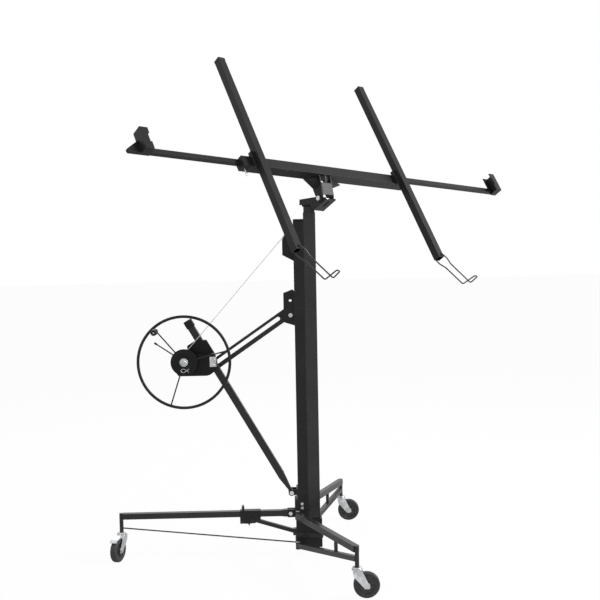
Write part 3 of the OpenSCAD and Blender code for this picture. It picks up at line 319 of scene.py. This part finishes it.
bead_coat = finish("coated_weld", (0.013, 0.013, 0.014), rough=0.34, specular=0.4,
                   peel=1400, peel_height=0.0002, patches=40,
                   edge_wear_and_highlight=(0.10, 0.10, 0.10), edge_wear_and_highlight_share=0.4, soften=0.0005)
dress(satin_coat, "hub", "leg_sleeve", "strut_bracket", "winch_gusset")
socket_from, socket_to, socket_y, socket_top = -56, -5, 39.5, 170
ear_from, ear_to, ear_y = -60, -40, 39.7
ear_edges = (52, 64, 177, 203)
front_ear = (-61.6, 16.2, 174, 206)
bracket_side = (-53.6, 23.7, 273, 295)
gusset_side = (-47.6, 26.7, 1010, 1152)
hub_runs = []
for side in (-1, 1):
    hub_runs.append([(socket_from, side * socket_y, socket_top), (socket_to, side * socket_y, socket_top)])
    for x, y, low, high in (front_ear, bracket_side, gusset_side):
        hub_runs.append([(x, side * y, low), (x, side * y, high)])
    for height in ear_edges:
        hub_runs.append([(ear_from, side * ear_y, height), (ear_to, side * ear_y, height)])
settle(weld(hub_runs), "hub_welds", "base", bead_coat)

# Pins and bolts: turned and cold-headed steel, zinc plated bright. The plate
# has a faint cloud in it and dulls where spanners and hands have been.
zinc_plate = finish("zinc_plate", (0.56, 0.57, 0.58), metallic=1, rough=0.30,
                    peel=500, peel_height=0.00008, patches=45,
                    edge_wear_and_highlight=(0.8, 0.8, 0.8), edge_wear_and_highlight_share=0.5, soften=0.0008)
dress(zinc_plate, "pulley_pin", "gusset_bolt", "strut_pin", "foot_bolts", "rear_leg_pins", "housing_bolts",
      "head_bolts", "arm_pivots", "winch_axle", "winch_drum", "top_pulley")

# Base legs: square tube, the front one over a stay rod, the rear ones welded
# as trusses of two tubes and one upright. Beads run down each caster post and
# round both ends of the upright.
# The tubes' coat carries the broadest and brightest painted highlight along its edges.
tube_coat = finish("glossy_tube_coat", (0.016, 0.016, 0.017), rough=0.30, specular=0.34,
                   peel=1000, peel_height=0.00008, patches=9,
                   edge_wear_and_highlight=(0.16, 0.16, 0.16), edge_wear_and_highlight_share=0.9, soften=0.0028)
dress(tube_coat, "front_leg", "rear_leg_near", "rear_leg_far", "leg_lock_pin", "front_brace", "stay_rod")
front_post = (-810, 6.6, 178, 202)
inner_end = (-125, 11.6, 179, 201)
front_runs = []
for x, y, low, high in (front_post, inner_end):
    front_runs += [[(x, side * y, low), (x, side * y, high)] for side in (-1, 1)]
settle(weld(front_runs, radius=2.0), "front_leg_welds", "base", bead_coat)
hinge_x, hinge_y, leg_angle = -50, 51, 65.8
post_x, post_y = 529, 7.9
upright_from, upright_to, upright_y = 351.6, 362, 6.2
for side, name in ((-1, "near"), (1, "far")):
    hinge = place_mm(hinge_x, side * hinge_y, 0, (0, 0, side * leg_angle))
    runs = []
    for low, high in ((178.5, 202), (144, 162)):
        runs += [[(post_x, face * post_y, low), (post_x, face * post_y, high)] for face in (-1, 1)]
    for height in (177.6, 131.5):
        corners = [(upright_from, -upright_y), (upright_to, -upright_y), (upright_to, upright_y),
                   (upright_from, upright_y), (upright_from, -upright_y)]
        runs.append([(x, y, height) for x, y in corners])
    settle(weld(runs, hinge, 1.9), name + "_leg_welds", name + "_leg", bead_coat)

# Latch of the front leg: a coil spring under the sleeve, hooked on the lock
# pin's foot and on the brace's bolt, the pointed stop that it pulls on, and
# two lips at the sleeve's outer end.


def drawn_line(points):
    """A chain of vertices through points in millimetres, left open in edit mode."""
    bpy.ops.object.select_all(action="DESELECT")
    bpy.ops.mesh.primitive_plane_add(size=0.001)
    bpy.ops.object.mode_set(mode="EDIT")
    bpy.ops.mesh.select_mode(type="VERT")
    bpy.ops.mesh.select_all(action="SELECT")
    bpy.ops.mesh.merge(type="CENTER")
    bpy.ops.transform.translate(value=[value / 1000 for value in points[0]])
    for here, there in zip(points, points[1:]):
        step = [(b - a) / 1000 for a, b in zip(here, there)]
        bpy.ops.mesh.extrude_region_move(TRANSFORM_OT_translate={"value": step})
    bpy.ops.mesh.select_all(action="SELECT")
    return bpy.context.object


def turned(outline, place, steps=64):
    """A piece turned on a lathe: radius and height pairs in millimetres, about the place's Z."""
    piece = drawn_line([(radius, 0, height) for radius, height in outline])
    bpy.ops.mesh.spin(steps=steps, angle=math.tau, center=(0, 0, 0), axis=(0, 0, 1))
    bpy.ops.mesh.select_all(action="SELECT")
    bpy.ops.mesh.remove_doubles(threshold=0.00001)
    bpy.ops.mesh.normals_make_consistent(inside=False)
    bpy.ops.object.mode_set(mode="OBJECT")
    piece.data.transform(place)
    return piece


def block(lo, hi, rounded, segments=3, place=Matrix.Identity(4)):
    """A cut block of plate or bar between two corners in millimetres, its edges dressed round."""
    lo, hi = Vector(lo) / 1000, Vector(hi) / 1000
    bpy.ops.object.select_all(action="DESELECT")
    bpy.ops.mesh.primitive_cube_add(size=1, location=(lo + hi) / 2)
    piece = bpy.context.object
    piece.scale = hi - lo
    bpy.ops.object.transform_apply(location=True, rotation=True, scale=True)
    edge = piece.modifiers.new("edges", "BEVEL")
    edge.width = rounded / 1000
    edge.segments = segments
    bpy.ops.object.modifier_apply(modifier=edge.name)
    piece.data.transform(place)
    return piece


wire_black = finish("black_wire", (0.012, 0.012, 0.013), rough=0.32,
                    peel=900, peel_height=0.00008, patches=30,
                    edge_wear_and_highlight=(0.2, 0.2, 0.2), edge_wear_and_highlight_share=0.4, soften=0.0005)
spring_wire, coil_radius = 1.15, 6.6
coil_start, coil_axis = -283, 150.4
coil_turns, turn_points, turn_length = 6, 15, 5.4
coil = [(-286.5, 0, 153.5), (-284, 0, 157)]
for k in range(coil_turns * turn_points + 1):
    angle = math.radians(360 * k / turn_points + 90)
    along = coil_start + turn_length * k / turn_points
    coil.append((along, coil_radius * math.cos(angle), coil_axis + coil_radius * math.sin(angle)))
coil += [(-248.5, 0, 157), (-245.5, 0, 158.2)]
settle(wire_mesh(coil, [spring_wire] * len(coil)), "latch_spring", "base", wire_black, 60)
stop_line = [(0, 24), (3.6, 24), (3.6, 14), (5.0, 13), (5.0, 9), (2.6, 7), (0.9, 0), (0, 0)]
settle(turned(stop_line, place_mm(-262, 0, 134), 32), "latch_stop", "base", wire_black)
lip_y, lip_half = 15.7, 1
for side, name in ((-1, "near"), (1, "far")):
    lip = block((-300, side * lip_y - lip_half, 149), (-286, side * lip_y + lip_half, 160), 0.9, 2)
    settle(lip, name + "_sleeve_lip", "base", tube_coat)

# Casters: a pressed zinc fork turns on a ball race under its post. The wheel
# is a hard black rubber tyre on a ribbed core, and the front one has a brake.
hard_rubber = finish("hard_rubber", (0.018, 0.018, 0.019), rough=0.56,
                     peel=700, peel_height=0.0002, patches=60,
                     edge_wear_and_highlight=(0.09, 0.09, 0.088), edge_wear_and_highlight_share=0.9)
core_black = finish("core_black", (0.028, 0.028, 0.029), rough=0.45,
                    peel=1100, peel_height=0.0001, patches=50,
                    edge_wear_and_highlight=(0.07, 0.07, 0.07), edge_wear_and_highlight_share=0.5)
dress(zinc_plate, "front_caster_fork", "near_caster_fork", "far_caster_fork", "front_caster_axle",
      "near_caster_axle", "far_caster_axle", "front_caster_brake")
caster_places = (("front", -816, 0, 250), ("near", 168.489, -537.16, 0), ("far", 168.489, 537.16, 0))
trail, wheel_radius = 36, 51
tyre_half = [(37.0, 0), (37.0, 10.2), (38.2, 11.4), (41.5, 12.7), (42.2, 12.1), (43.0, 12.9),
             (46.4, 12.6), (49.2, 10.8), (50.5, 8.2), (50.5, 6.9), (wheel_radius, 6.6),
             (wheel_radius, 2.2), (50.6, 1.9), (50.6, 0)]
core_half = [(37.2, 0), (37.2, 10.6), (33.5, 11.6), (32.0, 9.6), (31.0, 7.2), (17.0, 6.4), (14.5, 7.4),
             (13.4, 11.0), (12.6, 14.2), (11.6, 14.9), (4.06, 14.9), (4.06, 0)]
race_line = [(5.6, 109.5), (20.2, 109.5), (21.4, 110.6), (21.4, 113.0), (20.0, 114.2), (18.2, 114.4),
             (17.4, 115.2), (18.6, 116.2), (18.8, 118.6), (17.2, 120.4), (9.5, 121.7), (5.6, 121.7),
             (5.6, 109.5)]
ribs, rib_from, rib_to, rib_half = 8, 13.6, 33.0, 1.3
web_face, rib_face = 5.5, 9.4


def both_faces(half):
    """An outline from its upper half, with the lower half as its mirror."""
    return half + [(radius, -height) for radius, height in reversed(half[:-1])]


for name, x, y, yaw in caster_places:
    stem = place_mm(x, y, 0, (0, 0, yaw))
    axle = stem @ place_mm(trail, 0, wheel_radius, (90, 0, 0))
    tyre = turned(both_faces(tyre_half), axle, 96)
    settle(tyre, name + "_tyre", name + "_wheel", hard_rubber)
    parts = [turned(both_faces(core_half), axle, 64)]
    for k in range(ribs):
        spoke = axle @ Matrix.Rotation(math.tau * k / ribs, 4, "Z")
        for low, high in ((-rib_face, -web_face), (web_face, rib_face)):
            parts.append(block((rib_from, -rib_half, low), (rib_to, rib_half, high), 0.6, 2, spoke))
    settle(join(parts), name + "_wheel_core", name + "_wheel", core_black)
    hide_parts(name + "_caster_wheel")
    settle(turned(race_line, stem, 64), name + "_ball_race", name + "_caster", zinc_plate)

# Winch housing: a black box pressed round the drum, with rounded lower
# corners, open above, and a block behind the rope. The strut, the slotted arm
# and the lever round it have the glossier coat of the tubes.
deep_black = finish("deep_black_coat", (0.005, 0.005, 0.006), rough=0.42, specular=0.18,
                    peel=900, peel_height=0.00012, patches=9,
                    edge_wear_and_highlight=(0.06, 0.06, 0.06), edge_wear_and_highlight_share=0.6)
dress(tube_coat, "winch_strut", "slotted_arm", "brake_lever")


def pressed(outline, y0, y1, corner=0, below=0):
    """A box with an outline of X and Z in millimetres, its corners under a height rounded, between two Y."""
    piece = drawn_line([(x, y0, z) for x, z in outline + outline[:1]])
    bpy.ops.mesh.remove_doubles(threshold=0.00001)
    bpy.ops.mesh.edge_face_add()
    if corner:
        bpy.ops.mesh.select_all(action="DESELECT")
        bpy.ops.object.mode_set(mode="OBJECT")
        for vertex in piece.data.vertices:
            vertex.select = vertex.co.z < below / 1000
        bpy.ops.object.mode_set(mode="EDIT")
        bpy.ops.mesh.bevel(offset=corner / 1000, segments=6, affect="VERTICES")
    bpy.ops.mesh.select_all(action="SELECT")
    bpy.ops.mesh.extrude_region_move(TRANSFORM_OT_translate={"value": (0, (y1 - y0) / 1000, 0)})
    bpy.ops.mesh.select_all(action="SELECT")
    bpy.ops.mesh.normals_make_consistent(inside=False)
    bpy.ops.object.mode_set(mode="OBJECT")
    return piece


def cut_away(piece, cutter):
    """Cuts one piece out of another."""
    hollow = piece.modifiers.new("hollow", "BOOLEAN")
    hollow.operation = "DIFFERENCE"
    hollow.object = cutter
    bpy.context.view_layer.objects.active = piece
    bpy.ops.object.modifier_apply(modifier=hollow.name)
    bpy.data.objects.remove(cutter)


axle_x, axle_z = -519, 866
near_face, far_face = -62, -15
shell_line = [(-34, -62), (104, -62), (132, -40), (139, -8), (126, 32), (-34, 32)]
rope_back_line = [(10, 30), (126, 30), (92, 88), (48, 88), (10, 64)]
axle_bore, corner_radius = 6.05, 15
near_wall, far_wall, rope_back_deep = 4, 3, 16


def about_axle(outline):
    """An outline given from the winch's axle."""
    return [(axle_x + x, axle_z + z) for x, z in outline]


shell = pressed(about_axle(shell_line), near_face, far_face, corner_radius, axle_z + 10)
hollow_from = (axle_x - 31, near_face + near_wall, axle_z - 58)
hollow_to = (axle_x + 100, far_face - far_wall, axle_z + 40)
cut_away(shell, block(hollow_from, hollow_to, 0.4))
bore_line = [(0, -100), (axle_bore, -100), (axle_bore, 0), (0, 0)]
cut_away(shell, turned(bore_line, place_mm(axle_x, 0, axle_z, (-90, 0, 0)), 48))
rope_back = pressed(about_axle(rope_back_line), far_face - rope_back_deep, far_face)
housing = settle(join([shell, rope_back]), "winch_housing_box", "winch", deep_black)
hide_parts("winch_housing")

# Winch strut's cap: moulded plastic pushed over the tube's upper end, with a
# collar at its mouth and a grip pad on each side.
strut = place_mm(-74, 0, 282, (0, -30, 0))
cap_body = block((-18, -18, 839), (18, 18, 871), 3.5, 4, strut)
cap_collar = block((-18.6, -18.6, 838), (18.6, 18.6, 843), 1.5, 3, strut)
cap_pads = block((-9, -18.7, 848), (9, 18.7, 862), 2, 3, strut)
cap = join([cap_body, cap_collar, cap_pads])
settle(cap, "strut_end_cap", "winch", moulded_black)
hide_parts("strut_cap")

# Bolt plate: a zinc plated strip under the two bolts that hold the housing,
# flat on its near face.
plate_thick = 2.2
plate = block((-412, near_face - plate_thick, 842), (-384, near_face, 885), 1.0)
settle(plate, "housing_bolt_plate", "winch", zinc_plate)

# Rope: 3.2 mm steel, laid. It leaves the drum, bends over the top pulley and
# drops inside the rail.
rope_steel = finish("rope_steel", (0.50, 0.51, 0.52), metallic=1, rough=0.42,
                    peel=900, peel_height=0.0002, patches=90,
                    edge_wear_and_highlight=(0.7, 0.7, 0.7), edge_wear_and_highlight_share=0.3, soften=0.0004)
lay = rope_steel.node_tree
strand = add_node(lay, "TexWave", {"Scale": 260})
strand.bands_direction = "DIAGONAL"
lay_spot = next(node for node in lay.nodes if node.type == "TEX_COORD")
lay_relief = next(node for node in lay.nodes if node.type == "BUMP")
link_up(lay, (lay_spot.outputs["Object"], strand.inputs["Vector"]),
        (strand.outputs["Fac"], lay_relief.inputs["Height"]))
rope_radius = 1.6
drum_radius, pulley_radius = 21.35, 27
pulley_x, pulley_z = -65, 1376
slope = math.radians(47.85)
slant_steps, bend_steps = 80, 18
drop_steps, drop_step = 30, 42.15
drop_top = (pulley_x + pulley_radius, 0, pulley_z - 0.5)
drum_y = -40
drum_end = Vector((axle_x - drum_radius * math.sin(slope), drum_y,
                   axle_z + drum_radius * math.cos(slope)))
crest = Vector((pulley_x - pulley_radius * math.sin(slope), 0,
                pulley_z + pulley_radius * math.cos(slope)))
route = [drum_end + (crest - drum_end) * k / slant_steps for k in range(slant_steps + 1)]
for k in range(1, bend_steps + 1):
    bend = (math.pi / 2 + slope) * (1 - k / bend_steps)
    over_x, over_z = pulley_radius * math.cos(bend), pulley_radius * math.sin(bend)
    route.append(Vector((pulley_x + over_x, 0, pulley_z + over_z)))
rope = wire_mesh(route, [rope_radius] * len(route), sides=3)
settle(rope, "lifting_rope", None, rope_steel, 60)
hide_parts("winch_cable")
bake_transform(rope)
fall = [(drop_top[0], 0, drop_top[2] - drop_step * k) for k in range(drop_steps + 1)]
drop = wire_mesh(fall, [rope_radius] * len(fall), sides=3)
settle(drop, "rope_drop", "base", rope_steel, 60)
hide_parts("winch_cable")
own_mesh(drop)

# Hand wheel: a rim of round bar, three spokes and a pressed disc with a
# rolled edge, all black, turned by a grip near the rim.
face_on = place_mm(axle_x, -82, axle_z, (90, 0, 0))
rim_radius, rim_bar = 0.19375, 0.00625
grip_angle, grip_reach = 130.5, 177
bpy.ops.object.select_all(action="DESELECT")
bpy.ops.mesh.primitive_torus_add(major_segments=160, minor_segments=20,
                                 major_radius=rim_radius, minor_radius=rim_bar)
rim = bpy.context.object
rim.data.transform(face_on)
parts = [rim]
spoke_line = [(30, 0, 0), (52, 0, 0), (60, 0, 0), (186, 0, 0), (190, 0, 0)]
spoke_radii = [3.4, 3.2, 3.0, 3.0, 4.4]
for angle in (14, grip_angle, 252):
    spoke = face_on @ Matrix.Rotation(math.radians(angle), 4, "Z")
    parts.append(wire_mesh(spoke_line, spoke_radii, spoke, sides=3))
disc_line = [(axle_bore, -4), (37, -4), (38, -3), (38, 3), (53.5, 3), (56.0, 3.6), (56.5, 5.2),
             (55.6, 6.6), (53.4, 7.0), (51.4, 6.2), (49.6, 5.9), (47.8, 6.6), (46.5, 7.0), (24.5, 7.0),
             (23.5, 6.4), (20.5, 6.4), (19.5, 7.0), (axle_bore, 7.0), (axle_bore, -4)]
disc = settle(turned(disc_line, face_on, 96), "hand_wheel_disc", "winch_shaft", deep_black)
grip_at = face_on @ Matrix.Rotation(math.radians(grip_angle), 4, "Z") @ place_mm(grip_reach, 0, 0)
boss_line = [(4.05, -4), (7.2, -4), (8, -3.2), (8, 6.2), (7.2, 7), (4.05, 7), (4.05, -4)]
parts.append(turned(boss_line, grip_at, 40))
wheel = settle(join(parts), "hand_wheel_frame", "winch_shaft", satin_coat)
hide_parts("hand_wheel")
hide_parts("hand_wheel")

# Grip: a turned black handle with a waist and ribs, free on its bolt, whose
# plated head shows in the end.
grip_ribs, first_rib, rib_apart = 6, 34, 5
grip_line = [(4.06, 7.4), (9.6, 7.4), (10.4, 8.6), (10.4, 12), (11.0, 16), (12.4, 30)]
for k in range(grip_ribs):
    start = first_rib + rib_apart * k
    grip_line += [(12.9, start), (13.4, start + 1.5), (12.9, start + 3)]
grip_line += [(13.3, 66), (13.5, 72), (13.0, 80), (11.4, 86), (8.6, 89), (7.4, 89.2), (7.0, 86), (7.0, 78.4),
              (4.06, 78.4), (4.06, 7.4)]
grip = settle(turned(grip_line, grip_at, 48), "wheel_grip", "knob", moulded_black)
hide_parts("crank_knob")
bolt_line = [(0, 79), (4.6, 79), (4.9, 80), (4.7, 83.2), (3.8, 84.4), (2.8, 84.8), (2.4, 83.4), (0, 83.4)]
settle(turned(bolt_line, grip_at, 40), "grip_bolt_head", "winch_shaft", zinc_plate)

# Spring clip on the disc: one length of plated spring wire bent to a loop
# whose two ends cross.
clip_at = place_mm(-522, -90.9, 831, (90, 0, 0))
clip_wire, loop_long, loop_wide = 1.2, 11, 7.5
loop = [(24, 7, 2.1), (19, 3.4, 2.0), (12, -1.5, 1.2)]
for degrees in range(-110, 111, 11):
    angle = math.radians(degrees)
    loop.append((1 - loop_long * math.cos(angle), loop_wide * math.sin(angle), 0))
loop += [(12, 1.5, -0.3), (19, -3.4, -0.6), (24, -7, -0.6)]
clip = wire_mesh(loop, [clip_wire] * len(loop), clip_at)
settle(clip, "spring_clip", "winch_shaft", zinc_plate, 60)
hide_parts("axle_clip")

# Head and cradle: folded plate brackets on bolts, then a square beam with a
# sliding tube in each end and an arm near each end. Beads hold the collars on
# the beam's ends, and each arm in its shoe.
head = place_mm(21.75, 0, 0, (0, 0, 40.1)) @ place_mm(0, 0, 1532, (0, 3.6, 0))
saddle = head @ place_mm(0, -102, 12, (75.7, 0, 0))
cradle = saddle @ place_mm(41, 111, 0, (-19.4, 0, 0))
dress(satin_coat, "swivel_head", "lean_bracket", "cradle_saddle", "main_beam", "extension_left",
      "extension_right", "catch_left", "catch_right", "support_arm_left", "support_arm_right")
beam_bead_x, beam_half, beam_bead_top = 440, 22.4, 19
arm_x, arm_bead_x, arm_bead_z, arm_bead_length = 405, 16.4, 27.5, 22
bead_path = [(beam_half, beam_bead_top), (beam_half, -beam_half),
             (-beam_half, -beam_half), (-beam_half, beam_bead_top)]
runs = [[(side * beam_bead_x, y, z) for y, z in bead_path] for side in (-1, 1)]
settle(weld(runs, cradle, 1.8), "beam_welds", "cradle", bead_coat)
for side, name in ((-1, "left"), (1, "right")):
    runs = []
    for face in (-1, 1):
        x = side * arm_x + face * arm_bead_x
        runs += [[(x, start, arm_bead_z), (x, start + arm_bead_length, arm_bead_z)] for start in (-32, 10)]
    settle(weld(runs, cradle, 1.9), name + "_arm_welds", name + "_arm", bead_coat)

# Lock pins of the beam: each a plated pin with a split ring through its head,
# pushed through the beam and the extension in it.
dress(zinc_plate, "beam_lock_pins")

# Board hooks: black spring wire bent to a narrow frame that swings on the
# lower end of its arm and catches the edge of the board.


def rounded_frame(corners, bend):
    """A closed run of corner points joined by bends of one radius, in millimetres."""
    bend_points = 6
    out = []
    for k in range(len(corners)):
        here = Vector(corners[k])
        back = Vector(corners[k - 1]) - here
        on = Vector(corners[(k + 1) % len(corners)]) - here
        reach = min(bend, back.length / 2.2, on.length / 2.2)
        a, b = here + back.normalized() * reach, here + on.normalized() * reach
        for step in range(bend_points + 1):
            t = step / bend_points
            out.append((1 - t) ** 2 * a + 2 * t * (1 - t) * here + t ** 2 * b)
    return out


hook_wire, hook_bend, hook_swing = 3.0, 9, 37
hook_corners = [(0, 0, -22), (-3.6, -30, -22), (-3.6, -62, -13), (-3.6, -164, -13), (-3.6, -168, 60),
                (3.6, -180, 60), (3.6, -182, 14), (3.6, -62, 14), (3.6, -30, 22), (0, 0, 22)]
for side, name in ((-1, "left"), (1, "right")):
    spot = cradle @ place_mm(side * arm_x, -426, 43.5, (0, 0, hook_swing))
    bends = rounded_frame(hook_corners, hook_bend)
    hook = wire_mesh(bends, [hook_wire] * len(bends), spot, closed=True, sides=3)
    settle(hook, name + "_hook_wire", name + "_hook", wire_black, 60)
    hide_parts("board_hook_" + name)

# Nodes whose fuller forms stand above keep a plain coat of their own: they
# aren't seen, but no node is left without a finish.
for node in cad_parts.values():
    for place in node.material_slots:
        if place.material is None or not place.material.use_nodes:
            place.material = satin_coat
